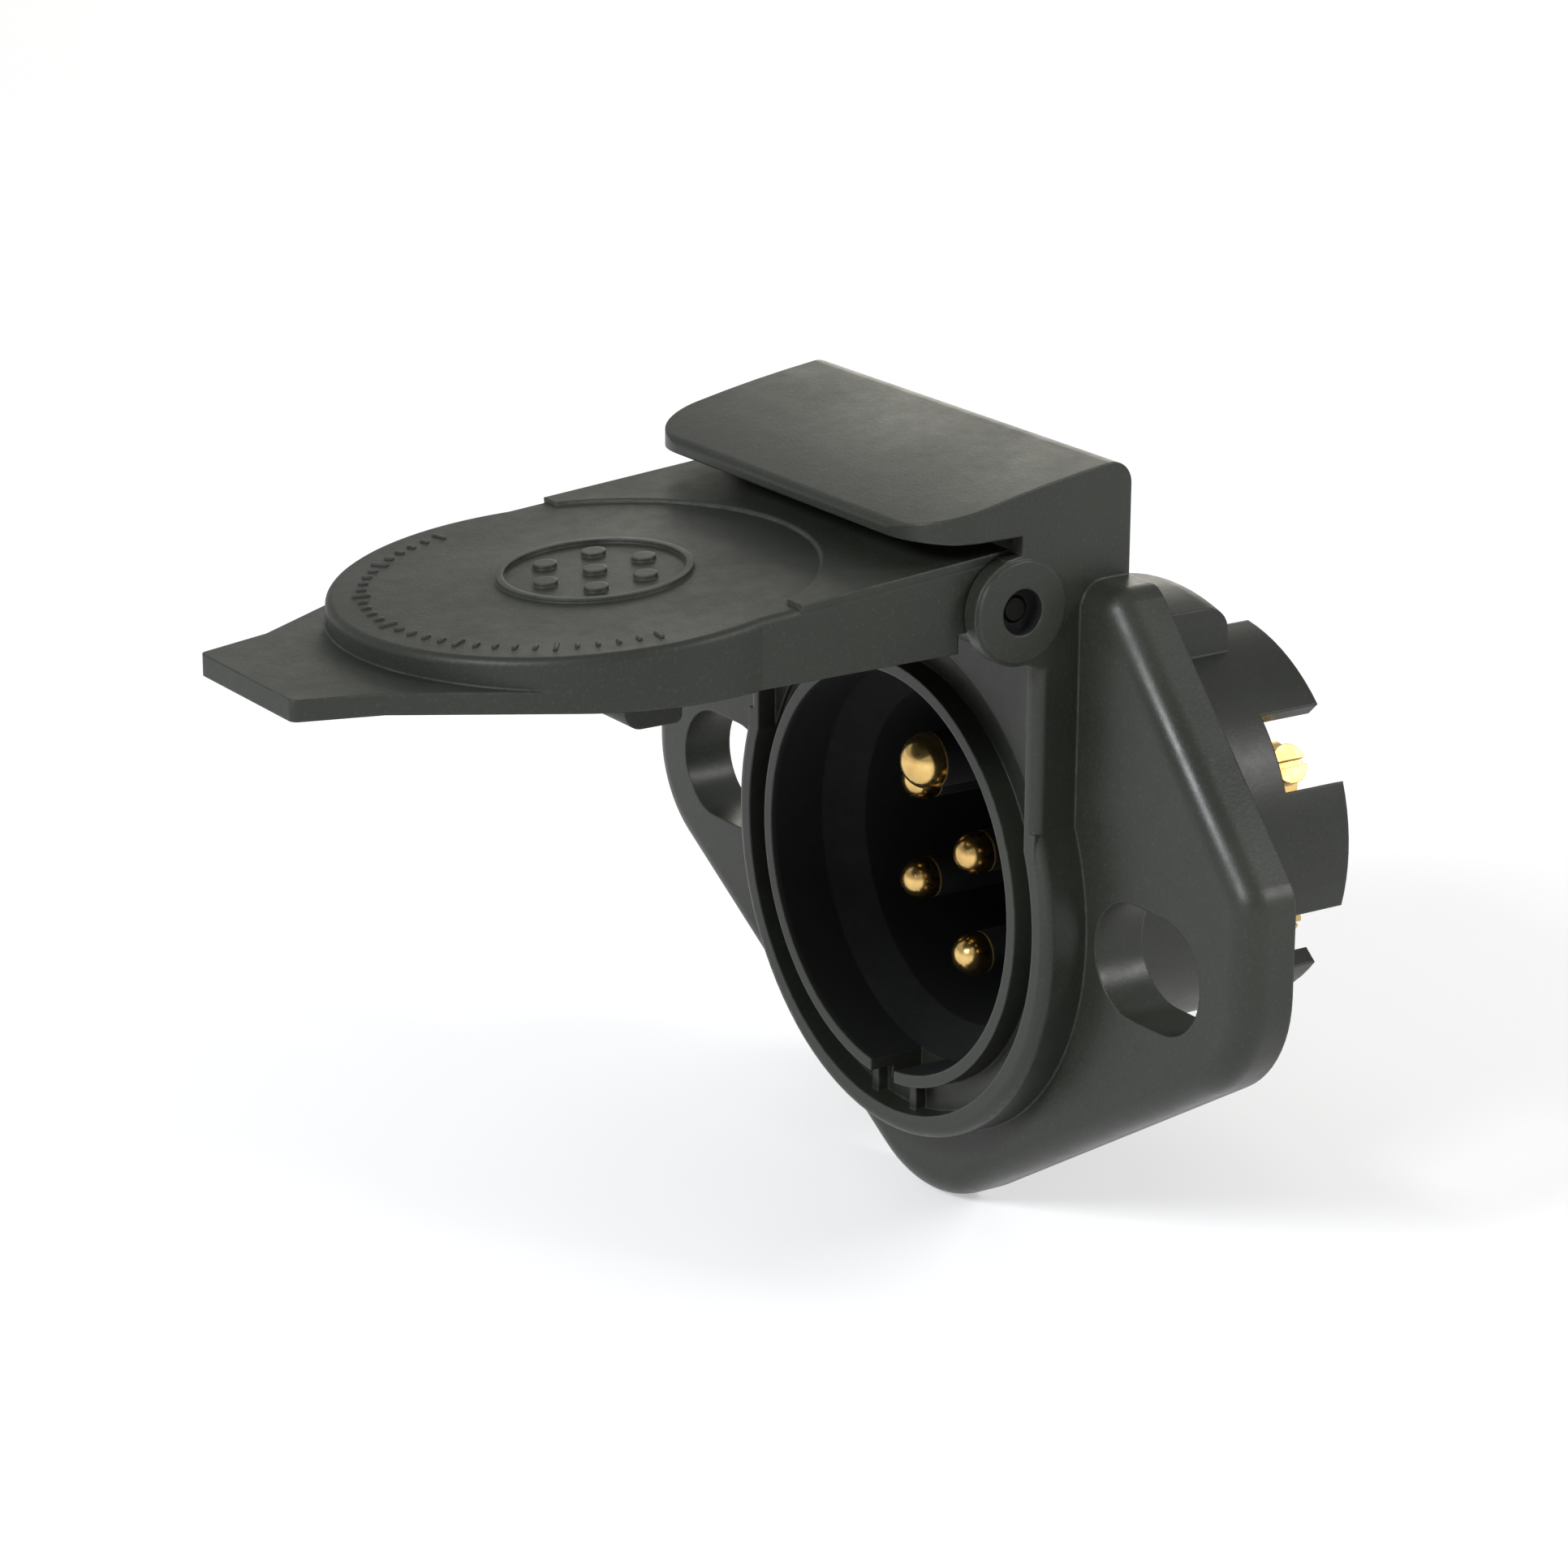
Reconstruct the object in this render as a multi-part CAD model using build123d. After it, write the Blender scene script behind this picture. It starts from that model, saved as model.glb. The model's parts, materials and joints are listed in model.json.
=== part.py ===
from build123d import *
from math import acos, atan2, cos, degrees, pi, radians, sin, tan
import os

# Seven-pin trailer wiring socket with a hinged spring lid.
# Units are mm. X is to the right when facing the socket, +Y goes into it, +Z is up.
# The origin is on the socket's axis, in the mounting plane at the back of the flange.

# Socket bore and collar
RIM_Y = -11.6            # front rim plane
MOUTH_R = 23.0           # mouth of the bore
RIM_WALL = 1.4           # inner tube standing in the mouth
GROOVE_R = 27.6          # outer radius of the groove that the lid's skirt drops into
GROOVE_DEPTH = 3.0
CORNER_DEPTH = 2.4       # recess above the groove, between the cheeks
CORNER_Z = 31.0          # top of the collar's square upper part, under the lid's knuckles
COLLAR_R = 30.2
COLLAR_EDGE = 1.2        # rounding of the collar's outer front edge
NOSE_R = 19.4            # deep part of the bore, around the plug's nose
MOUTH_END_Y = -4.6
KEYWAY_W, KEYWAY_R = 4.6, 25.5
RIB_X, RIB_T = 3.7, 1.2

# Flange
FLANGE_T = 6.3
EAR_X = 57.2             # half width over the ears
EAR_SHOULDER_X, SHOULDER_Z = 32.8, 39.0
EAR_TOP_Z, EAR_LOW_Z = 11.8, -7.2
FOOT_Z = -42.1           # sharp lower corner, before rounding
SHOULDER_FILLET, EAR_TOP_FILLET, EAR_LOW_FILLET, FOOT_FILLET = 3.0, 4.0, 14.0, 16.0
FLANGE_EDGE_FILLET = 3.0
SLOT_X, SLOT_L, SLOT_W = 40.75, 18.0, 12.8

# Hood and hinge cheeks
HOOD_X = 27.7            # half width over the cheeks
CHEEK_T = 1.9
ROOF_BACK_Z = 51.8
ROOF_FRONT_Y, ROOF_FRONT_Z = -26.2, 46.9
ROOF_CROWN = 0.5         # rise of the roof's curved top above a straight line
ROOF_CORNER = 7.5        # rounding of the roof's front corners, seen from above
ROOF_BACK_FILLET, ROOF_FRONT_FILLET = 2.6, 0.9
LIP_Z = 45.4
ROOF_UNDER_Z = 45.1
CHEEK_TOP_Z = 43.0
CHEEK_SLOT_Y = -13.9     # inner end of the slot between roof and cheek
CHEEK_FOOT_Z = 30.4      # front edge of the cheek meets the collar here
NOSE_BACK, NOSE_DROP = 4.8, 3.4   # where that edge leaves the nose, from the hinge axis

# Hinge
HINGE_Y, HINGE_Z = -13.95, 37.0
PIN_R = 1.5
PIN_HOLE_R = 1.55
PIN_WINDOW_R = 2.5       # sunk hole around each end of the pin
PIN_SUNK = 1.0
NOSE_BOSS_R = 5.9
BOSS_PROUD = 0.3

# Rear skirt
SKIRT_R, CAVITY_R = 22.9, 20.8
SKIRT_END_Y = 35.75
NOTCH_Y = 27.6
NOTCH_ANGLE, FIRST_NOTCH = 23.0, 32.5
HUMP_X, HUMP_R, HUMP_END_Y, HUMP_EDGE = 8.6, 28.0, 28.9, 3.0

# Contact carrier and contacts
CARRIER_Y0, CARRIER_Y1 = 20.0, 27.6
SNAP_R = 20.4            # inner radius of the ridge that holds the carrier in
PIN_CIRCLE_R = 12.0
CONTACT_R, GROUND_R = 2.38, 3.175
CONTACT_TIP_Y, GROUND_TIP_Y = -1.8, -9.1
SHANK_STEP = 0.4         # how much thicker a contact is inside the carrier than in front
BARREL_R, GROUND_BARREL_R = 4.2, 4.7
BARREL_END_Y, CENTRE_BARREL_END_Y = 35.2, 42.2
WIRE_R, WIRE_DEPTH = 2.2, 7.0
SHOULDER_T = 1.6
SCREW_BACK = 3.4         # clamp screw's axis, in from the barrel's end
SCREW_R, SCREW_HOLE_R = 1.75, 1.8
SCREW_HEAD_R, SCREW_HEAD_T = 2.3, 1.4
SCREW_TRAVEL = 1.6

# Lid in the hinge's frame, with the lid level: y from the hinge axis, z above it
LID_X = 25.5             # half width between the cheeks
PAD_R = 26.3             # round end, concentric with the bore when shut
PAD_CENTRE = -HINGE_Z
PLATE_Z0, PLATE_Z1 = -4.1, -1.8
PAD_BACK_Z, PAD_SLOPE = 5.8, 0.08
PAD_EDGE = 0.8
LID_SKIRT_T = 1.1
UNDER_Z = -2.0           # underside within the skirt
TAB_Y, TAB_X, TAB_CORNER = -76.0, 9.9, 1.0
WAIST_Y, WAIST_X = -67.0, 12.6
KNUCKLE_R = 5.0
SPRING_GAP_X, SPRING_GAP_Y = 10.0, -6.4
CATCH_X, CATCH_Y0, CATCH_Y1, CATCH_Z = 7.0, -35.6, -28.6, -12.6
CATCH_EDGE, CATCH_LEAD = 0.8, 2.0
SEAL_R0, SEAL_R1, SEAL_SEAT_Z, SEAL_Z = 21.6, 24.8, -1.2, -2.5
STRAP_R, STRAP_END_Y, STRAP_RISE = 25.3, -26.0, 0.4
MARK_R, MARK_RISE = 10.4, 0.45
MARK_LINE, DOT_R, DOT_CIRCLE_R = 0.8, 1.3, 6.0
SINK = 0.5               # how far raised detail starts below the surface it stands on

# Lid spring
WIRE_D = 1.2
COIL_R, COIL_TURNS, COIL_PITCH = 2.6, 9, 1.7
BACK_LEG, LID_LEG = 7.3, 10.0
LEG_HOLE_R, LEG_HOLE_END = 1.1, -10.6


def at(angle, radius):
    """Point at this angle, from +X towards +Z, on the socket's face."""
    return cos(radians(angle)) * radius, sin(radians(angle)) * radius


def tube_y(radius, y0, y1, x=0.0, z=0.0):
    """Cylinder along Y."""
    return Pos(x, (y0 + y1) / 2, z) * Rot(90, 0, 0) * Cylinder(radius, y1 - y0)


def tube_x(radius, x0, x1, y=0.0, z=0.0):
    """Cylinder along X."""
    return Pos((x0 + x1) / 2, y, z) * Rot(0, 90, 0) * Cylinder(radius, x1 - x0)


def block(x0, x1, y0, y1, z0, z1):
    return Pos((x0 + x1) / 2, (y0 + y1) / 2, (z0 + z1) / 2) * Box(x1 - x0, y1 - y0, z1 - z0)


def along_y(sketch, y0, y1):
    """Sketch in (x, z), extruded from y0 to y1."""
    front = Plane(origin=(0, y1, 0), x_dir=(1, 0, 0), z_dir=(0, -1, 0))
    return extrude(front * sketch, amount=y1 - y0)


def along_x(sketch, x0, x1):
    """Sketch in (y, z), extruded from x0 to x1."""
    side = Plane(origin=(x0, 0, 0), x_dir=(0, 1, 0), z_dir=(1, 0, 0))
    return extrude(side * sketch, amount=x1 - x0)


def along_z(sketch, z0, z1):
    """Sketch in (x, y), extruded from z0 to z1."""
    return extrude(Pos(0, 0, z0) * sketch, amount=z1 - z0)


def outline(points):
    return make_face(Polyline(*points, close=True))


def rounded_outline(points, rounding):
    """Outline with the corners named in rounding, {corner index: radius}, rounded."""
    face = outline(points)
    for index, radius in rounding.items():
        x, y = points[index]
        corner = face.vertices().sort_by_distance((x, y, 0))[0]
        face = fillet(corner, radius)
    return face


def turned_y(profile):
    """Profile of (radius, y) points turned about the socket's axis."""
    face = make_face(Polyline(*[(r, y, 0) for r, y in profile], close=True))
    return revolve(face, Axis.Y)


def flange_plate():
    points = [
        (-EAR_SHOULDER_X, SHOULDER_Z), (EAR_SHOULDER_X, SHOULDER_Z), (EAR_X, EAR_TOP_Z),
        (EAR_X, EAR_LOW_Z), (0, FOOT_Z), (-EAR_X, EAR_LOW_Z), (-EAR_X, EAR_TOP_Z),
    ]
    rounding = {0: SHOULDER_FILLET, 1: SHOULDER_FILLET, 2: EAR_TOP_FILLET, 3: EAR_LOW_FILLET,
                4: FOOT_FILLET, 5: EAR_LOW_FILLET, 6: EAR_TOP_FILLET}
    plate = along_y(rounded_outline(points, rounding), -FLANGE_T, 0)
    front = plate.faces().sort_by(Axis.Y)[0]
    return fillet(front.edges(), FLANGE_EDGE_FILLET)


def ear_slots():
    slot = SlotOverall(SLOT_L, SLOT_W)
    cuts = [along_y(Pos(side * SLOT_X, 0) * slot, -FLANGE_T - 3, 3) for side in (-1, 1)]
    return cuts[0] + cuts[1]


def collar():
    """Round below, square above, where it runs up into the hinge cheeks."""
    round_part = tube_y(COLLAR_R, RIM_Y, 0)
    round_part = fillet(round_part.faces().sort_by(Axis.Y)[0].edges(), COLLAR_EDGE)
    body = round_part + block(-HOOD_X, HOOD_X, RIM_Y, 0, 0, CORNER_Z)
    groove = tube_y(GROOVE_R, RIM_Y - 1, RIM_Y + GROOVE_DEPTH)
    inside = HOOD_X - CHEEK_T
    corners = block(-inside, inside, RIM_Y - 1, RIM_Y + CORNER_DEPTH, 0, CORNER_Z + 1)
    body -= groove + corners
    for side in (-1, 1):
        body += Pos(side * RIB_X, 0, 0) * block(
            -RIB_T / 2, RIB_T / 2, RIM_Y + 1.6, -FLANGE_T, -GROOVE_R - 1, -MOUTH_R)
    return body + tube_y(MOUTH_R + RIM_WALL, RIM_Y, -FLANGE_T)


def hood():
    middle = (ROOF_FRONT_Y / 2, (ROOF_BACK_Z + ROOF_FRONT_Z) / 2 + ROOF_CROWN)
    top = ThreePointArc((0, ROOF_BACK_Z), middle, (ROOF_FRONT_Y, ROOF_FRONT_Z))
    rest = Polyline((ROOF_FRONT_Y, ROOF_FRONT_Z), (ROOF_FRONT_Y, LIP_Z),
                    (ROOF_FRONT_Y + 4, ROOF_UNDER_Z), (0, ROOF_UNDER_Z), (0, ROOF_BACK_Z))
    profile = make_face(top + rest)
    for (y, z), radius in (((0, ROOF_BACK_Z), ROOF_BACK_FILLET),
                           ((ROOF_FRONT_Y, ROOF_FRONT_Z), ROOF_FRONT_FILLET)):
        profile = fillet(profile.vertices().sort_by_distance((y, z, 0))[0], radius)
    plan = rounded_outline(
        [(-HOOD_X, 0), (HOOD_X, 0), (HOOD_X, ROOF_FRONT_Y), (-HOOD_X, ROOF_FRONT_Y)],
        {2: ROOF_CORNER, 3: ROOF_CORNER},
    )
    roof = along_x(profile, -HOOD_X, HOOD_X) & along_z(plan, 0, ROOF_BACK_Z + 1)
    body = roof + block(-HOOD_X, HOOD_X, -FLANGE_T, 0, 0, ROOF_UNDER_Z + 0.5)
    nose = tube_x(NOSE_BOSS_R, 0, CHEEK_T, HINGE_Y, HINGE_Z)
    web_z = (GROOVE_R ** 2 - (HOOD_X - CHEEK_T) ** 2) ** 0.5
    web = along_x(
        outline([
            (0, web_z), (0, ROOF_UNDER_Z + 0.5), (CHEEK_SLOT_Y, ROOF_UNDER_Z + 0.5),
            (CHEEK_SLOT_Y, CHEEK_TOP_Z), (HINGE_Y - 2.0, CHEEK_TOP_Z - 0.3),
            (HINGE_Y - NOSE_BACK, HINGE_Z - NOSE_DROP), (RIM_Y, CHEEK_FOOT_Z), (RIM_Y, web_z),
        ]), 0, CHEEK_T)
    cheek = nose + web
    body += Pos(HOOD_X - CHEEK_T, 0, 0) * cheek + Pos(-HOOD_X, 0, 0) * cheek
    for side in (-1, 1):
        ends = sorted((side * (HOOD_X - 1), side * (HOOD_X + BOSS_PROUD)))
        body += tube_x(NOSE_BOSS_R - 0.4, *ends, HINGE_Y, HINGE_Z)
    return body


def hinge_holes():
    cuts = tube_x(PIN_R, -HOOD_X - 2, HOOD_X + 2, HINGE_Y, HINGE_Z)
    for side in (-1, 1):
        ends = sorted((side * (HOOD_X - PIN_SUNK - 0.2), side * (HOOD_X + 2)))
        cuts += tube_x(PIN_WINDOW_R, *ends, HINGE_Y, HINGE_Z)
    return cuts


def corner_rounding():
    """Waste outside the rounded front edges of the collar's square upper part."""
    waste = None
    for side in (-1, 1):
        inner = side * (HOOD_X - COLLAR_EDGE)
        square = Pos(inner, RIM_Y + COLLAR_EDGE) * Rectangle(4 * COLLAR_EDGE, 4 * COLLAR_EDGE)
        corner = square & Pos(inner + side * 5, RIM_Y + COLLAR_EDGE - 5) * Rectangle(10, 10)
        corner -= Pos(inner, RIM_Y + COLLAR_EDGE) * Circle(COLLAR_EDGE)
        cut = along_z(corner, (COLLAR_R ** 2 - HOOD_X ** 2) ** 0.5, CHEEK_FOOT_Z)
        waste = cut if waste is None else waste + cut
    return waste


def rear_skirt():
    body = tube_y(SKIRT_R, -1, SKIRT_END_Y)
    column = outline([(-HUMP_X, 10), (HUMP_X, 10), (HUMP_X, 40), (-HUMP_X, 40)])
    hump = along_y(column & Circle(HUMP_R), -1, HUMP_END_Y)
    back = hump.faces().sort_by(Axis.Y)[-1]
    hump = fillet(back.edges().sort_by(Axis.Z)[-1], HUMP_EDGE)
    return body + hump


def skirt_notches():
    reach = SKIRT_R * 2
    half = reach * tan(radians(NOTCH_ANGLE / 2))
    wedge = outline([(0, 0), (reach, -half), (reach, half)])
    ring = Circle(SKIRT_R + 0.2)
    cuts = None
    for index in range(6):
        cut = along_y(Rot(0, 0, FIRST_NOTCH + 60 * index) * wedge & ring, NOTCH_Y, SKIRT_END_Y + 1)
        cuts = cut if cuts is None else cuts + cut
    return cuts


def bore():
    """Everything turned away along the socket's axis, from the rim to the back."""
    cone = MOUTH_R - NOSE_R
    return turned_y([
        (0, RIM_Y - 1), (MOUTH_R, RIM_Y - 1), (MOUTH_R, MOUTH_END_Y),
        (NOSE_R, MOUTH_END_Y + cone), (NOSE_R, CARRIER_Y0), (CAVITY_R, CARRIER_Y0),
        (CAVITY_R, CARRIER_Y1), (SNAP_R, CARRIER_Y1 + 0.3), (SNAP_R, CARRIER_Y1 + 0.6),
        (CAVITY_R, CARRIER_Y1 + 1.0), (CAVITY_R, SKIRT_END_Y + 1), (0, SKIRT_END_Y + 1),
    ])


def housing():
    body = flange_plate() + collar() + hood() + rear_skirt()
    keyway = block(-KEYWAY_W / 2, KEYWAY_W / 2, RIM_Y - 1, MOUTH_END_Y, -KEYWAY_R, -MOUTH_R + 2)
    body -= corner_rounding()
    return body - bore() - ear_slots() - skirt_notches() - hinge_holes() - keyway


def contact_carrier():
    body = tube_y(CAVITY_R - 0.05, CARRIER_Y0, CARRIER_Y1)
    for _, x, z, radius, barrel_r, _, _ in CONTACTS:
        body -= tube_y(radius + SHANK_STEP + 0.02, CARRIER_Y0 - 1, CARRIER_Y1 + 1, x, z)
        body -= tube_y(barrel_r + 0.02, CARRIER_Y1 - SHOULDER_T, CARRIER_Y1 + 1, x, z)
    return body


def contact(x, z, radius, barrel_r, tip_y, end_y):
    """Domed pin in front, barrel with a wire hole behind."""
    pin = tube_y(radius, tip_y + radius, CARRIER_Y1, x, z)
    pin += tube_y(radius + SHANK_STEP, CARRIER_Y0, CARRIER_Y1, x, z)
    dome = Pos(x, tip_y + radius, z) * Sphere(radius)
    barrel = tube_y(barrel_r, CARRIER_Y1 - SHOULDER_T, end_y, x, z)
    barrel = chamfer(barrel.faces().sort_by(Axis.Y)[-1].edges(), 0.4)
    wire = tube_y(WIRE_R, end_y - WIRE_DEPTH, end_y + 1, x, z)
    direction = outward(x, z)
    tapped = along_direction(x, z, direction, end_y - SCREW_BACK, 0, barrel_r + 1, SCREW_HOLE_R)
    return pin + dome + barrel - wire - tapped


def outward(x, z):
    """Unit direction that a contact's clamp screw points in."""
    reach = (x * x + z * z) ** 0.5
    return (x / reach, z / reach) if reach > 1 else (0.0, 1.0)


def along_direction(x, z, direction, y, start, end, radius):
    """Cylinder square to the socket's axis, from start to end along a direction."""
    base = Plane(origin=(x + direction[0] * start, y, z + direction[1] * start),
                 z_dir=(direction[0], 0, direction[1]))
    return extrude(base * Circle(radius), amount=end - start)


def clamp_screw(x, z, barrel_r, end_y):
    """Cheese-head screw, backed off so the wire hole is clear."""
    direction = outward(x, z)
    y = end_y - SCREW_BACK
    head_at = barrel_r + SCREW_TRAVEL + 0.2
    shank = along_direction(x, z, direction, y, WIRE_R + 0.35, head_at + 0.5, SCREW_R)
    head = along_direction(x, z, direction, y, head_at, head_at + SCREW_HEAD_T, SCREW_HEAD_R)
    slot = Plane(origin=(x + direction[0] * head_at, y, z + direction[1] * head_at),
                 x_dir=(0, 1, 0), z_dir=(direction[0], 0, direction[1]))
    groove = extrude(slot * Rectangle(SCREW_HEAD_R * 3, 0.8), amount=SCREW_HEAD_T + 1)
    groove = groove.moved(Location((direction[0] * 0.7, 0, direction[1] * 0.7)))
    return shank + head - groove


def tangent_angle(x, y):
    """Angle on the pad's circle where a line from (x, y) touches it, on the +X side."""
    reach = (x * x + (y - PAD_CENTRE) ** 2) ** 0.5
    return degrees(atan2(y - PAD_CENTRE, x) + acos(PAD_R / reach))


def lid_plate_outline():
    """Plate from the hinge to the pull tab, with waisted flanks that touch the round pad."""
    touch_x, touch_y = at(tangent_angle(WAIST_X, WAIST_Y), PAD_R)
    right = [(TAB_X, TAB_Y), (WAIST_X, WAIST_Y), (touch_x, PAD_CENTRE + touch_y)]
    left = [(-x, y) for x, y in reversed(right)]
    tab = outline(right + left)
    for x, y in (right[0], left[-1]):
        tab = fillet(tab.vertices().sort_by_distance((x, y, 0))[0], TAB_CORNER)
    return tab + pad_outline(0)


def pad_outline(inset):
    straight = Pos(0, PAD_CENTRE / 2) * Rectangle(2 * (LID_X - inset), -PAD_CENTRE)
    return straight + Pos(0, PAD_CENTRE) * Circle(PAD_R - inset)


def pad_top(y):
    """Height of the pad's sloping top at this distance from the hinge."""
    return PAD_BACK_Z + PAD_SLOPE * y


def on_pad(sketch, low, high):
    """Sketch in the pad's sloping top face, extruded from low to high above it."""
    slope = Plane(origin=(0, 0, PAD_BACK_Z), x_dir=(1, 0, 0), z_dir=(0, -PAD_SLOPE, 1))
    return extrude(slope.offset(low) * sketch, amount=high - low)


def seven_dots():
    """Raised diagram of the pin layout."""
    marks = Circle(MARK_R) - Circle(MARK_R - MARK_LINE)
    for x, y in [(0, 0)] + [at(30 + 60 * index, DOT_CIRCLE_R) for index in range(6)]:
        marks += Pos(x, y) * Circle(DOT_R)
    return on_pad(Pos(0, PAD_CENTRE + 2) * marks, -SINK, MARK_RISE)


def strap():
    """Hinge end of the lid's top, raised outside the round of the pad."""
    round_edge = Pos(0, PAD_CENTRE) * Circle(STRAP_R)
    hinge_end = Pos(0, STRAP_END_Y / 2) * Rectangle(2 * LID_X, -STRAP_END_Y)
    raised = on_pad(hinge_end - round_edge, -SINK, STRAP_RISE)
    raised = raised & block(-LID_X, LID_X, STRAP_END_Y, 0, 0, KNUCKLE_R + 5)
    arc = raised.edges().filter_by(GeomType.CIRCLE).sort_by(Axis.Z)[-1]
    return fillet(arc, STRAP_RISE * 0.7)


def catch():
    """Block under the lid that holds a plug in the socket."""
    side = rounded_outline(
        [(CATCH_Y0, UNDER_Z + SINK), (CATCH_Y1, UNDER_Z + SINK), (CATCH_Y1, CATCH_Z),
         (CATCH_Y0, CATCH_Z)],
        {2: CATCH_EDGE, 3: CATCH_LEAD},
    )
    return along_x(side, -CATCH_X, CATCH_X)


def lid_level():
    """Lid with the hinge axis on the X axis and its tab towards -Y."""
    plate = along_z(lid_plate_outline(), PLATE_Z0, PLATE_Z1)
    wedge = outline([(0, PLATE_Z0), (0, pad_top(0)), (-70, pad_top(-70)), (-70, PLATE_Z0)])
    pad = along_z(pad_outline(0), PLATE_Z0, KNUCKLE_R + 2) & along_x(wedge, -30, 30)
    top = pad.faces().sort_by(Axis.Z)[-1]
    pad = fillet([edge for edge in top.edges() if edge.center().Y < -1], PAD_EDGE)
    body = plate + pad - along_z(pad_outline(LID_SKIRT_T), PLATE_Z0 - 1, UNDER_Z)
    body -= block(-LID_X - 1, LID_X + 1, SPRING_GAP_Y, 1, PLATE_Z0 - 1, UNDER_Z)
    body += tube_x(KNUCKLE_R, -LID_X, LID_X)
    body += strap() + catch() + seven_dots()
    leg_middle = (SPRING_GAP_Y + LEG_HOLE_END) / 2
    leg_x = COIL_PITCH * (COIL_TURNS / 2 - leg_middle / (2 * pi * COIL_R))
    body -= tube_y(LEG_HOLE_R, LEG_HOLE_END, SPRING_GAP_Y + 1, leg_x, COIL_R)
    seat = Pos(0, PAD_CENTRE) * (Circle(SEAL_R1) - Circle(SEAL_R0))
    body -= along_z(seat, PLATE_Z0, SEAL_SEAT_Z)
    body -= tube_x(PIN_HOLE_R, -LID_X - 1, LID_X + 1)
    roof = PAD_BACK_Z - 1.2
    gap = block(-SPRING_GAP_X, SPRING_GAP_X, SPRING_GAP_Y, KNUCKLE_R + 1, -KNUCKLE_R - 1, roof)
    return body - gap


def lid_seal_level():
    ring = Pos(0, PAD_CENTRE) * (Circle(SEAL_R1) - Circle(SEAL_R0))
    return along_z(ring, SEAL_Z, SEAL_SEAT_Z)


def on_hinge(shape):
    """From the hinge's frame to the open lid's place."""
    return Pos(0, HINGE_Y, HINGE_Z) * shape


def hinge_pin():
    reach = HOOD_X - PIN_SUNK
    pin = tube_x(PIN_R, -reach, reach, HINGE_Y, HINGE_Z)
    return chamfer(pin.edges().filter_by(GeomType.CIRCLE), 0.3)


def lid_spring():
    """Torsion coil on the pin, one leg on the back wall and one on the lid."""
    half = COIL_TURNS * COIL_PITCH / 2
    path = Pos(-half, 0, 0) * Rot(180, 0, 0) * Rot(0, 90, 0) * Helix(COIL_PITCH, 2 * half, COIL_R)
    start, finish = path.position_at(0), path.position_at(1)
    wire = sweep(Plane(start, z_dir=path.tangent_at(0)) * Circle(WIRE_D / 2), path=path)
    back_leg = leg(start, path.tangent_at(0) * -1, BACK_LEG)
    lid_leg = leg(finish, path.tangent_at(1), LID_LEG)
    return on_hinge(wire + back_leg + lid_leg)


def leg(start, direction, length):
    return extrude(Plane(start, z_dir=direction) * Circle(WIRE_D / 2), amount=length)


# name, x, z, pin radius, barrel radius, tip y, barrel end y
CONTACTS = [
    ("ground_contact", *at(90, PIN_CIRCLE_R), GROUND_R, GROUND_BARREL_R,
     GROUND_TIP_Y, BARREL_END_Y),
    ("contact_centre", 0.0, 0.0, CONTACT_R, BARREL_R, CONTACT_TIP_Y, CENTRE_BARREL_END_Y),
] + [
    (name, *at(angle, PIN_CIRCLE_R), CONTACT_R, BARREL_R, CONTACT_TIP_Y, BARREL_END_Y)
    for name, angle in (
        ("contact_upper_right", 30), ("contact_lower_right", -30), ("contact_bottom", -90),
        ("contact_lower_left", -150), ("contact_upper_left", 150),
    )
]


def main():
    os.makedirs("parts", exist_ok=True)
    parts = {
        "housing": housing(),
        "contact_carrier": contact_carrier(),
        "lid": on_hinge(lid_level()),
        "lid_seal": on_hinge(lid_seal_level()),
        "hinge_pin": hinge_pin(),
        "lid_spring": lid_spring(),
    }
    for name, x, z, radius, barrel_r, tip_y, end_y in CONTACTS:
        parts[name] = contact(x, z, radius, barrel_r, tip_y, end_y)
        screw = name.replace("_contact", "_screw").replace("contact_", "screw_")
        parts[screw] = clamp_screw(x, z, barrel_r, end_y)
    for name, shape in parts.items():
        export_step(shape, f"parts/{name}.step")


main()
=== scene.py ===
import json
from math import atan, cos, radians, sin

import bmesh
import bpy
from mathutils import Matrix, Vector


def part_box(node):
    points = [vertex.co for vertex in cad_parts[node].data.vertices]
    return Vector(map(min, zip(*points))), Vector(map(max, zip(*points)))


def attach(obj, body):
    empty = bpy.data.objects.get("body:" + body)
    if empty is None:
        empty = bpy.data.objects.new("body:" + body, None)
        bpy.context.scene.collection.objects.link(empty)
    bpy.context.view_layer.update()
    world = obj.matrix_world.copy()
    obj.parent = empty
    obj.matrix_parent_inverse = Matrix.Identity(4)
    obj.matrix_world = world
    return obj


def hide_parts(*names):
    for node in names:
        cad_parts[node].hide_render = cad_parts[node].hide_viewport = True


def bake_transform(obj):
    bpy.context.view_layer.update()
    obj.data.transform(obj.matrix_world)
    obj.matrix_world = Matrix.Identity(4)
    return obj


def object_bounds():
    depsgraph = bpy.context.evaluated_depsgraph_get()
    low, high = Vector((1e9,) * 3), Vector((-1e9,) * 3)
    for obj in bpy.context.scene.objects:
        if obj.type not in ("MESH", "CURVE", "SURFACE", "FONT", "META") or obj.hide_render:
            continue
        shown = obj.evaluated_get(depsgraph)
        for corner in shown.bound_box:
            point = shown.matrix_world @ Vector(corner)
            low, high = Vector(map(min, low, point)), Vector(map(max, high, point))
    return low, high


# Looks of the seven-pin trailer wiring socket: camera, light, materials and moulded detail.
# Everything is in metres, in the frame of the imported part: +Y into the socket, +Z up.

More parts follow.
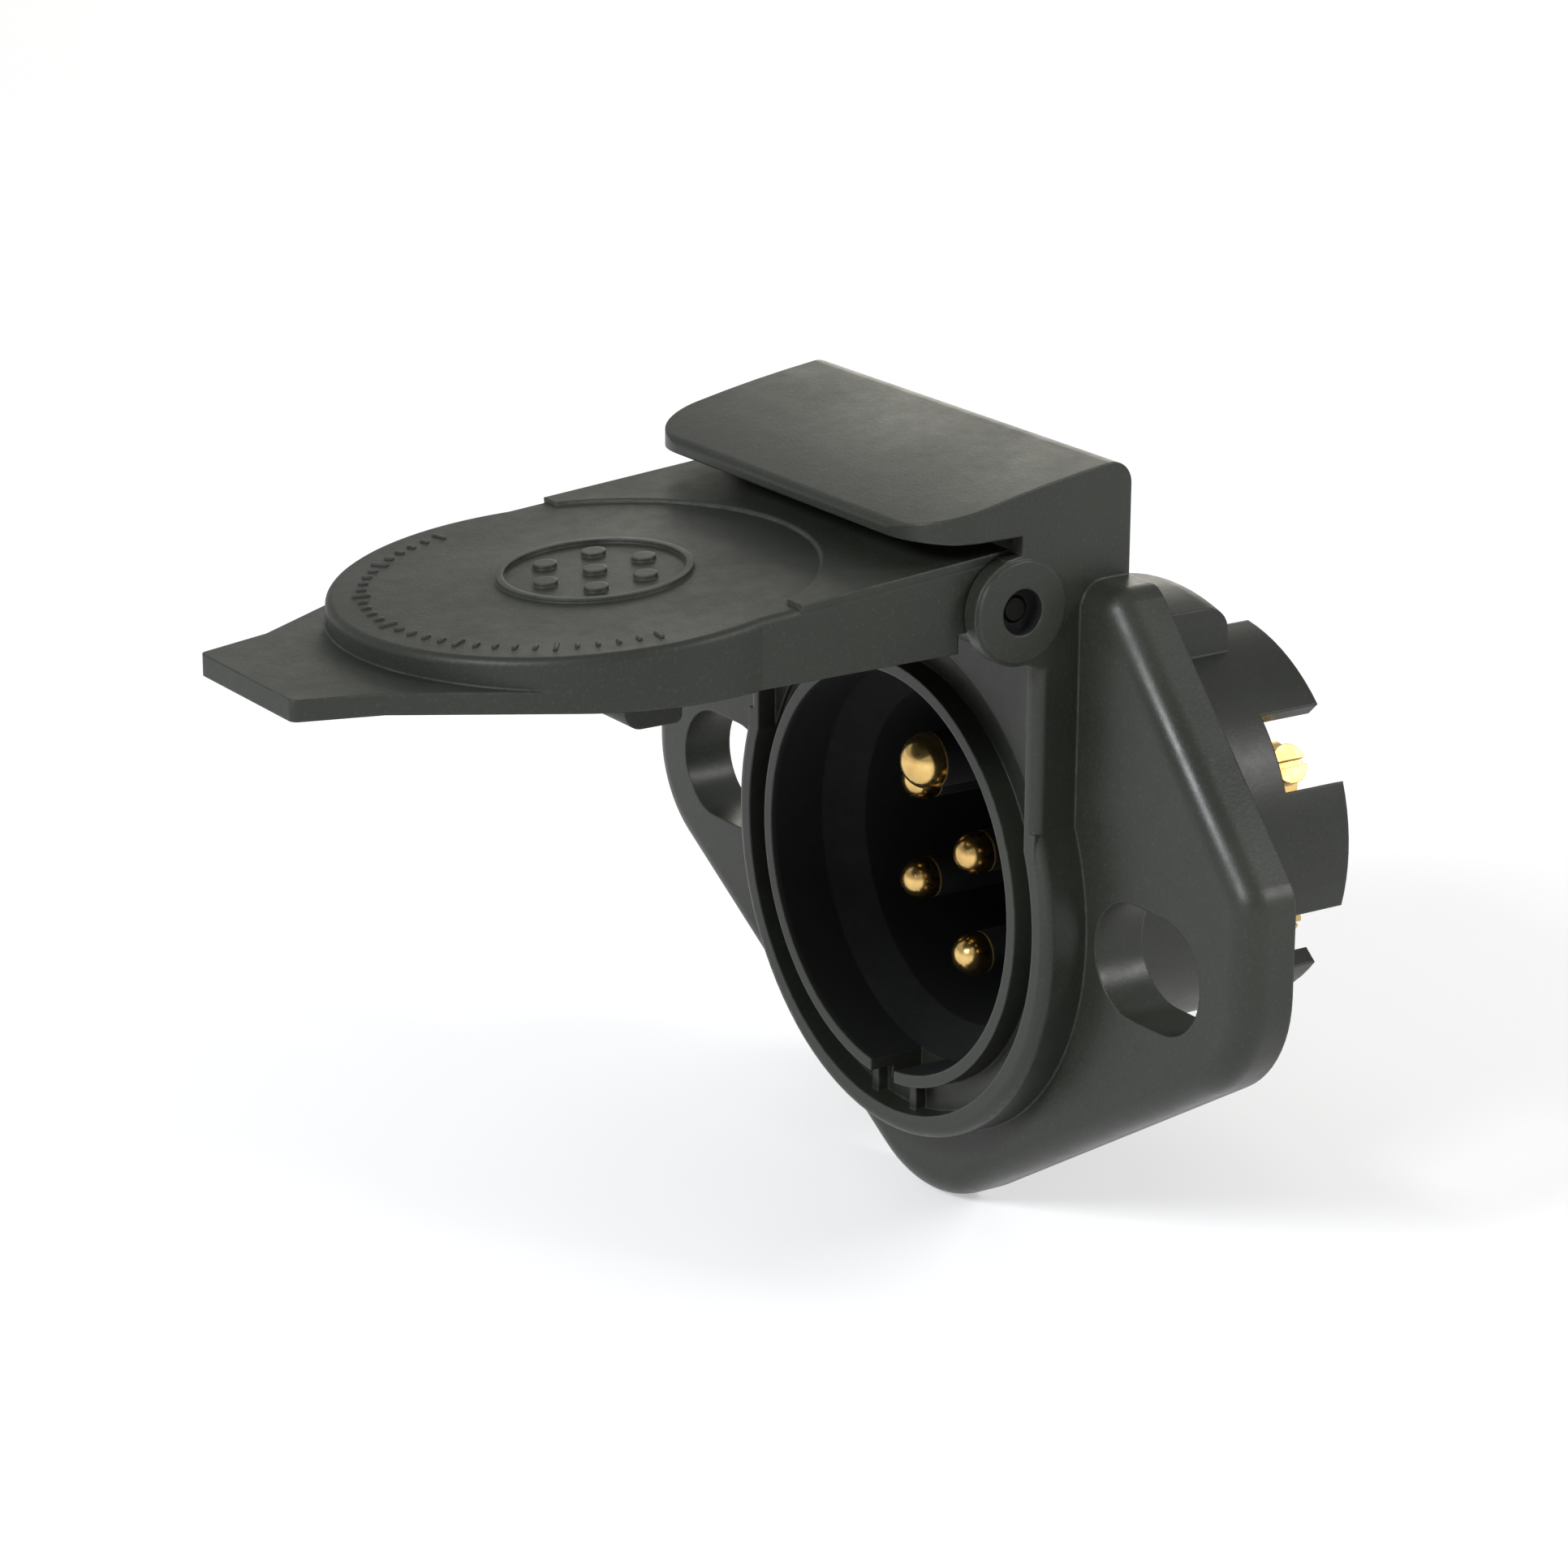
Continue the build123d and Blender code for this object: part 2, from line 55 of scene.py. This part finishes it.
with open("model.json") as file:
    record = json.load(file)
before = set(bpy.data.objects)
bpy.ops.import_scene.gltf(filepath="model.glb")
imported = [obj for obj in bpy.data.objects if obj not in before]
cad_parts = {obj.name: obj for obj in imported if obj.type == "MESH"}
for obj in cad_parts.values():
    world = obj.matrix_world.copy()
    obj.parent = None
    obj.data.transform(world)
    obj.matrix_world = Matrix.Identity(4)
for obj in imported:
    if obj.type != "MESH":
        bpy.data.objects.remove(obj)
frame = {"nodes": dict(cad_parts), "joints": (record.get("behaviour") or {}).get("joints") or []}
cad_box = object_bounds()
MM = 0.001

# Camera: it looks at a point near the mouth's centre, from the right and a little above.
AIM = Vector((-8.7, -19.3, 9.2)) * MM
AZIMUTH, ELEVATION, ROLL = radians(56.53), radians(17.94), radians(0.31)
DISTANCE = 0.552
LENS, SENSOR = 114.4, 36.0
CLIP = (0.01, 100)

# Colours, linear
BLACK_PLASTIC = (0.0175, 0.0195, 0.0150)
WORN_PLASTIC = (0.050, 0.053, 0.044)
# Near-black painted shade, for the bore, the hinge-pin recesses and the pins' shafts
SHADE_BLACK = (0.0015, 0.0018, 0.0022)
CARRIER_PLASTIC = (0.006, 0.006, 0.006)
RUBBER = (0.012, 0.012, 0.012)
BRASS = (0.80, 0.55, 0.20)
BRASS_STAIN = (0.55, 0.33, 0.12)
STEEL = (0.42, 0.42, 0.41)
# Black steel, made darker still so the hinge-pin ends read as painted shade in their recesses
DARK_STEEL_AND_SHADE = (0.015, 0.015, 0.014)
FLOOR_WHITE = (0.62, 0.62, 0.63)
WHITE, WARM, COOL = (1.0, 1.0, 1.0), (1.0, 0.97, 0.84), (0.94, 0.98, 1.0)

# Noise scales, in features for each metre
PLASTIC_GRIT, PLASTIC_FLOW, PLASTIC_SCUFFS = 2600, 55, 420
RUBBER_GRIT, RUBBER_BLOOM = 1800, 140
METAL_LINES, METAL_CLOUD, METAL_DENTS = 700, 260, 1500
FLOOR_CLOUD = 6

# Depth of the relief that each noise stands for
GRIT_DEPTH, FLOW_DEPTH, RUBBER_DEPTH, METAL_DEPTH = 0.05 * MM, 0.25 * MM, 0.04 * MM, 0.02 * MM

# Radius of the soft edge on each material, and of the rubbed strip along the plastic's edges
PLASTIC_EDGE, RUBBER_EDGE, METAL_EDGE, RUBBED_EDGE = 0.35 * MM, 0.2 * MM, 0.15 * MM, 0.55 * MM
EDGE_SAMPLES = 6
EDGE_START, EDGE_FULL = 0.995, 0.80     # how well rounded and flat normals agree there

PLASTIC_SHINE = 0.32
SPECKLE, RUBBED = 0.35, 0.75            # how far specks and edges go to the worn colour
MATT = 0.5                              # roughness that the painted-shade areas add

# Lid pad and its ticks, from the part's own sizes; distances are from the hinge
LID_HINGE = next(joint for joint in frame["joints"] if joint["name"] == "lid_hinge")
PAD_CENTRE_Y, PAD_BACK_Z, PAD_SLOPE = -37.0 * MM, 5.8 * MM, 0.08
TICKS, TICK_GROUP = 31, 5
TICK_START, TICK_SWEEP = 190, 160
TICK_RING_R = 22.6 * MM
TICK_SHORT, TICK_LONG, TICK_WIDTH, TICK_RISE = 1.1 * MM, 2.0 * MM, 0.5 * MM, 0.22 * MM

# Recesses at the ends of the hinge pin, where shade is painted; BOSS_X is just inside the bosses'
# outer faces
PIN_WINDOW_R, WINDOW_FADE = 2.5 * MM, 0.06 * MM
BOSS_X = 28.0 * MM - 0.1 * MM

# Bore, from the part's own sizes
MOUTH_R, NOSE_R = 23.0 * MM, 19.4 * MM
RIM_Y, MOUTH_END_Y = -11.6 * MM, -4.6 * MM
BORE_END_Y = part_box("contact_carrier")[0].y
WALL_OUTSIDE, WALL_INSIDE = 0.10 * MM, 0.02 * MM    # the painted shade fades out within the wall
RIM_FADE, CARRIER_FADE = 0.8 * MM, MM
PIN_BRASS_TIP, SHADE_BAND_EDGE = 3.4 * MM, 0.3 * MM          # brass tip of each pin, ahead of its painted shade

# Stage and light
FLOOR_SIDE, FLOOR_GAP = 30, 0.2 * MM
FLOOR_GLOW = 0.41                       # the sweep is lit from below too, so its shadows stay pale
HORIZON_LIGHT, OVERHEAD_LIGHT = 0.34, 0.62
BACKDROP_LIGHT, BACKDROP_TOP = 0.66, (0.12, 0.20)
# Each softbox: name, place, side, watts and colour. They all face the origin.
SOFTBOXES = (("front_softbox", (0.25, -1.0, 0.66), 0.30, 11.5, COOL),
             ("right_softbox", (0.95, 0.75, 0.75), 0.35, 9.5, WHITE),
             ("back_softbox", (-1.0, 0.80, 0.36), 0.5, 2.1, WARM))


# ---------------------------------------------------------------- node helpers

class Nodes:
    """A material's node tree, with short calls to add and join nodes."""

    def __init__(self, name):
        self.material = bpy.data.materials.new(name)
        self.material.use_nodes = True
        self.tree = self.material.node_tree
        self.shader = self.tree.nodes["Principled BSDF"]

    def add(self, kind, inputs=None, **settings):
        node = self.tree.nodes.new("ShaderNode" + kind)
        for name, value in settings.items():
            setattr(node, name, value)
        for name, value in (inputs or {}).items():
            self.put(node, name, value)
        return node

    def put(self, node, name, value):
        socket = node.inputs[name]
        if isinstance(value, bpy.types.NodeSocket):
            self.tree.links.new(value, socket)
        else:
            socket.default_value = value

    def set(self, **values):
        for name, value in values.items():
            self.put(self.shader, name.replace("_", " "), value)

    def place(self):
        return self.add("TexCoord").outputs["Object"]

    def parts(self, vector):
        return self.add("SeparateXYZ", {"Vector": vector}).outputs

    def noise(self, scale, detail=2.0, roughness=0.5, vector=None):
        inputs = {"Scale": scale, "Detail": detail, "Roughness": roughness,
                  "Vector": vector or self.place()}
        return self.add("TexNoise", inputs).outputs["Fac"]

    def span(self, value, low, high, to_low=0.0, to_high=1.0):
        inputs = {"Value": value, "From Min": low, "From Max": high,
                  "To Min": to_low, "To Max": to_high}
        return self.add("MapRange", inputs).outputs["Result"]

    def math(self, operation, *values):
        node = self.add("Math", operation=operation)
        for index, value in enumerate(values):
            self.put(node, index, value)
        return node.outputs[0]

    def distance(self, first, second):
        """Distance from an axis, from the two coordinates across it."""
        squares = [self.math("MULTIPLY", value, value) for value in (first, second)]
        return self.math("SQRT", self.math("ADD", *squares))

    def mix(self, share, first, second):
        node = self.add("Mix", data_type="RGBA")
        sockets = [s for s in node.inputs if s.enabled]
        for socket, value in zip(sockets, (share, first, second)):
            if isinstance(value, bpy.types.NodeSocket):
                self.tree.links.new(value, socket)
            else:
                socket.default_value = value if socket.type == "VALUE" else (*value, 1.0)
        return next(s for s in node.outputs if s.enabled)

    def bump(self, height, distance, strength, normal):
        inputs = {"Height": height, "Distance": distance, "Strength": strength, "Normal": normal}
        return self.add("Bump", inputs).outputs["Normal"]

    def soft_edges(self, radius):
        return self.add("Bevel", {"Radius": radius}, samples=EDGE_SAMPLES).outputs["Normal"]

    def edge_mask(self, radius):
        """1 near a sharp edge and 0 on a flat face."""
        rounded = self.soft_edges(radius)
        flat = self.add("NewGeometry").outputs["Normal"]
        agree = self.add("VectorMath", {0: rounded, 1: flat}, operation="DOT_PRODUCT")
        return self.span(agree.outputs["Value"], EDGE_START, EDGE_FULL)


def shade(color, factor):
    return [channel * factor for channel in color]


# ---------------------------------------------------------------- materials

def plastic(name, color, worn, grain=1.0, gloss=0.38, bore=False):
    """Moulded glass-filled plastic: fine spark-eroded grain, soft cloudy sheen, rubbed edges."""
    nodes = Nodes(name)
    grit = nodes.noise(PLASTIC_GRIT, 3.0, 0.6)
    flow = nodes.noise(PLASTIC_FLOW, 4.0, 0.55)
    scuffs = nodes.noise(PLASTIC_SCUFFS, 6.0, 0.7)
    specks = nodes.math("MULTIPLY", nodes.span(grit, 0.55, 0.75), SPECKLE)
    edge = nodes.math("MULTIPLY", nodes.edge_mask(RUBBED_EDGE), nodes.span(scuffs, 0.38, 0.62))
    tone = nodes.mix(nodes.span(flow, 0.3, 0.7), shade(color, 0.86), shade(color, 1.18))
    tone = nodes.mix(specks, tone, worn)
    tone = nodes.mix(nodes.math("MULTIPLY", edge, RUBBED), tone, worn)
    rough = nodes.math("ADD", nodes.span(flow, 0.3, 0.7, gloss - 0.05, gloss + 0.07),
                       nodes.span(scuffs, 0.3, 0.7, -0.04, 0.04))
    # Painted shade: the bore and the hinge-pin recesses are coloured near black and made matt
    if bore:
        painted_shade = nodes.math("MAXIMUM", bore_shade_mask(nodes), pin_window_shade_mask(nodes))
        tone = nodes.mix(painted_shade, tone, SHADE_BLACK)
        rough = nodes.math("ADD", rough, nodes.math("MULTIPLY", painted_shade, MATT))
    normal = nodes.bump(grit, GRIT_DEPTH, 0.35 * grain, nodes.soft_edges(PLASTIC_EDGE))
    normal = nodes.bump(flow, FLOW_DEPTH, 0.30, normal)
    nodes.set(Base_Color=tone, Roughness=rough, Normal=normal, Specular_IOR_Level=PLASTIC_SHINE)
    return nodes.material


def bore_shade_mask(nodes):
    """1 where shade is painted on the bore, which narrows behind the mouth, and 0 elsewhere."""
    apart = nodes.parts(nodes.place())
    across = nodes.distance(apart["X"], apart["Z"])
    wall = nodes.span(apart["Y"], MOUTH_END_Y, MOUTH_END_Y + MOUTH_R - NOSE_R, MOUTH_R, NOSE_R)
    inside = nodes.span(nodes.math("SUBTRACT", across, wall), WALL_OUTSIDE, WALL_INSIDE)
    behind_rim = nodes.span(apart["Y"], RIM_Y, RIM_Y + RIM_FADE)
    ahead_of_carrier = nodes.span(apart["Y"], BORE_END_Y + CARRIER_FADE, BORE_END_Y)
    return nodes.math("MULTIPLY", inside, nodes.math("MULTIPLY", behind_rim, ahead_of_carrier))


def pin_window_shade_mask(nodes):
    """1 in the sunk holes at the ends of the hinge pin, where shade is painted, and 0 elsewhere.
    """
    from_pin = nodes.add("VectorMath", {0: nodes.place(), 1: (0.0, *LID_HINGE["pos_m"][1:])},
                         operation="SUBTRACT").outputs["Vector"]
    apart = nodes.parts(from_pin)
    across = nodes.distance(apart["Y"], apart["Z"])
    inside = nodes.span(across, PIN_WINDOW_R + WINDOW_FADE, PIN_WINDOW_R)
    sunk = nodes.math("LESS_THAN", nodes.math("ABSOLUTE", apart["X"]), BOSS_X)
    return nodes.math("MULTIPLY", inside, sunk)


def rubber(name):
    """Matt rubber with a pale bloom in patches."""
    nodes = Nodes(name)
    grit = nodes.noise(RUBBER_GRIT, 3.0, 0.6)
    bloom = nodes.noise(RUBBER_BLOOM, 3.0, 0.5)
    tone = nodes.mix(nodes.span(bloom, 0.35, 0.7), RUBBER, shade(RUBBER, 2.0))
    nodes.set(Base_Color=tone, Roughness=nodes.span(bloom, 0.3, 0.7, 0.62, 0.78),
              Normal=nodes.bump(grit, RUBBER_DEPTH, 0.4, nodes.soft_edges(RUBBER_EDGE)))
    return nodes.material


def metal(name, color, stain, rough, lines, shade_band=None):
    """Turned metal: fine tool lines across the axis, light stains and small dents.
    Between the two given depths it turns black, matt and not metallic: painted shade on the shaft
    inside the bore."""
    nodes = Nodes(name)
    stretch = nodes.add("Mapping", {"Vector": nodes.place(), "Scale": (1.0, lines, 1.0)})
    tool = nodes.noise(METAL_LINES, 2.0, 0.5, stretch.outputs["Vector"])
    cloud = nodes.noise(METAL_CLOUD, 4.0, 0.6)
    dents = nodes.noise(METAL_DENTS, 2.0, 0.5)
    tone = nodes.mix(nodes.span(cloud, 0.42, 0.78), color, stain)
    gloss = nodes.math("ADD", nodes.span(cloud, 0.3, 0.7, rough, rough + 0.12),
                       nodes.span(tool, 0.3, 0.7, -0.03, 0.05))
    metallic = 1.0
    # Painted shade: behind its brass tip the pin's shaft is coloured black and made matt
    if shade_band:
        front, back = shade_band
        depth = nodes.parts(nodes.place())["Y"]
        pin_shade = nodes.math("MULTIPLY", nodes.span(depth, front, front + SHADE_BAND_EDGE),
                           nodes.span(depth, back, back - SHADE_BAND_EDGE))
        tone = nodes.mix(pin_shade, tone, SHADE_BLACK)
        gloss = nodes.math("ADD", gloss, nodes.math("MULTIPLY", pin_shade, MATT))
        metallic = nodes.math("SUBTRACT", 1.0, pin_shade)
    normal = nodes.bump(tool, METAL_DEPTH, 0.35, nodes.soft_edges(METAL_EDGE))
    normal = nodes.bump(dents, METAL_DEPTH, 0.3, normal)
    nodes.set(Base_Color=tone, Metallic=metallic, Roughness=gloss, Normal=normal)
    return nodes.material


def floor_material():
    nodes = Nodes("studio_floor")
    cloud = nodes.noise(FLOOR_CLOUD, 3.0, 0.5)
    tone = nodes.mix(cloud, shade(FLOOR_WHITE, 0.99), FLOOR_WHITE)
    nodes.set(Base_Color=tone, Roughness=0.9, Specular_IOR_Level=0.1,
              Emission_Color=(1, 1, 1, 1), Emission_Strength=FLOOR_GLOW)
    return nodes.material


def dress(material, *names):
    """Gives the material to every slot of the named CAD nodes."""
    for name in names:
        node = frame["nodes"][name]
        if not node.material_slots:
            node.data.materials.append(material)
        for slot in node.material_slots:
            slot.material = material


def dress_all():
    dress(plastic("black_plastic", BLACK_PLASTIC, WORN_PLASTIC, bore=True), "housing")
    lid_black = plastic("lid_plastic", shade(BLACK_PLASTIC, 0.92), WORN_PLASTIC, 1.3, 0.5)
    dress(lid_black, "lid")
    lid_ticks(lid_black)
    dress(plastic("carrier_plastic", CARRIER_PLASTIC, WORN_PLASTIC, 0.6, 0.5), "contact_carrier")
    dress(rubber("seal_rubber"), "lid_seal")
    # The hinge pin: black steel, darkened further as painted shade
    dress(metal("black_steel_and_shade", DARK_STEEL_AND_SHADE, shade(DARK_STEEL_AND_SHADE, 0.5), 0.4, 1.0), "hinge_pin")
    twisting_spring(metal("spring_steel", STEEL, shade(STEEL, 0.6), 0.3, 0.2))
    contacts = [name for name in frame["nodes"] if "contact" in name and name != "contact_carrier"]
    for name in contacts:
        # Painted shade on each pin's shaft, from behind its brass tip to the carrier
        shade_band = (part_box(name)[0].y + PIN_BRASS_TIP, BORE_END_Y + 2 * SHADE_BAND_EDGE)
        dress(metal(name + "_brass", BRASS, BRASS_STAIN, 0.16, 6.0, shade_band), name)
    screws = [name for name in frame["nodes"] if "screw" in name]
    dress(metal("screw_brass", shade(BRASS, 0.75), BRASS_STAIN, 0.34, 1.0), *screws)


# ---------------------------------------------------------------- moulded detail

def pad_frame():
    """The pad's sloping top face at its centre, with the lid open as it is at rest."""
    hinge = Vector(LID_HINGE["pos_m"])
    centre = hinge + Vector((0, PAD_CENTRE_Y, PAD_BACK_Z + PAD_SLOPE * PAD_CENTRE_Y))
    return Matrix.Translation(centre) @ Matrix.Rotation(atan(PAD_SLOPE), 4, "X")


def lid_ticks(material):
    """Raised ticks round the tab end of the lid's pad, where makers mould their small marks."""
    mesh = bmesh.new()
    for index in range(TICKS):
        angle = radians(TICK_START + TICK_SWEEP * index / (TICKS - 1))
        long_one = index % TICK_GROUP == 0
        size = (TICK_LONG if long_one else TICK_SHORT, TICK_WIDTH, 2 * TICK_RISE)
        out = Matrix.Rotation(angle, 4, "Z") @ Matrix.Translation((TICK_RING_R, 0, 0))
        bmesh.ops.create_cube(mesh, matrix=out @ Matrix.Diagonal((*size, 1)))
    data = bpy.data.meshes.new("lid_ticks")
    mesh.to_mesh(data)
    mesh.free()
    ticks = bpy.data.objects.new("lid_ticks", data)
    ticks.matrix_world = pad_frame()
    bpy.context.collection.objects.link(ticks)
    soften = ticks.modifiers.new("soften", "BEVEL")
    soften.width, soften.segments = TICK_RISE * 0.6, 2
    data.materials.append(material)
    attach(ticks, "lid")


def twisting_spring(material):
    """The lid's spring: a baked copy of its mesh takes the place of the hidden CAD part."""
    dress(material, "lid_spring")
    spring = bpy.data.objects.new("torsion_spring", frame["nodes"]["lid_spring"].data.copy())
    bpy.context.collection.objects.link(spring)
    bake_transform(spring)
    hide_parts("lid_spring")


# ---------------------------------------------------------------- stage, light and camera

def floor():
    low, _ = cad_box
    bpy.ops.mesh.primitive_plane_add(size=FLOOR_SIDE, location=(0, 0, low.z - FLOOR_GAP))
    plane = bpy.context.object
    plane.name = "studio_floor"
    plane.data.materials.append(floor_material())


def world_ramp(tree, height, heights, strengths):
    ramp = tree.nodes.new("ShaderNodeMapRange")
    tree.links.new(height, ramp.inputs["Value"])
    for name, value in zip(("From Min", "From Max", "To Min", "To Max"), (*heights, *strengths)):
        ramp.inputs[name].default_value = value
    return ramp.outputs["Result"]


def dome():
    """A pale dome, brightest overhead, over a low white backdrop."""
    world = bpy.data.worlds.new("studio")
    world.use_nodes = True
    tree = world.node_tree
    place = tree.nodes.new("ShaderNodeTexCoord").outputs["Generated"]
    apart = tree.nodes.new("ShaderNodeSeparateXYZ")
    tree.links.new(place, apart.inputs["Vector"])
    height = apart.outputs["Z"]
    sky = world_ramp(tree, height, (0.0, 1.0), (HORIZON_LIGHT, OVERHEAD_LIGHT))
    backdrop = world_ramp(tree, height, BACKDROP_TOP, (BACKDROP_LIGHT, 0.0))
    total = tree.nodes.new("ShaderNodeMath")
    tree.links.new(sky, total.inputs[0])
    tree.links.new(backdrop, total.inputs[1])
    background = tree.nodes["Background"].inputs
    tree.links.new(total.outputs[0], background["Strength"])
    background["Color"].default_value = (1, 1, 1, 1)
    bpy.context.scene.world = world


def softbox(name, place, side, power, color):
    light = bpy.data.objects.new(name, bpy.data.lights.new(name, "AREA"))
    light.data.shape = "SQUARE"
    light.data.size = side
    light.data.energy = power
    light.data.color = color
    light.location = place
    light.rotation_euler = (-Vector(place)).to_track_quat("-Z", "Y").to_euler()
    bpy.context.collection.objects.link(light)


def camera():
    back = Vector((sin(AZIMUTH) * cos(ELEVATION), -cos(AZIMUTH) * cos(ELEVATION), sin(ELEVATION)))
    data = bpy.data.cameras.new("camera")
    data.lens, data.sensor_width = LENS, SENSOR
    data.clip_start, data.clip_end = CLIP
    view = bpy.data.objects.new("camera", data)
    turn = (-back).to_track_quat("-Z", "Y").to_matrix().to_4x4() @ Matrix.Rotation(ROLL, 4, "Z")
    view.matrix_world = Matrix.Translation(AIM + back * DISTANCE) @ turn
    bpy.context.collection.objects.link(view)
    bpy.context.scene.camera = view


dress_all()
floor()
dome()
for spec in SOFTBOXES:
    softbox(*spec)
camera()
bpy.context.scene.view_settings.view_transform = "Standard"
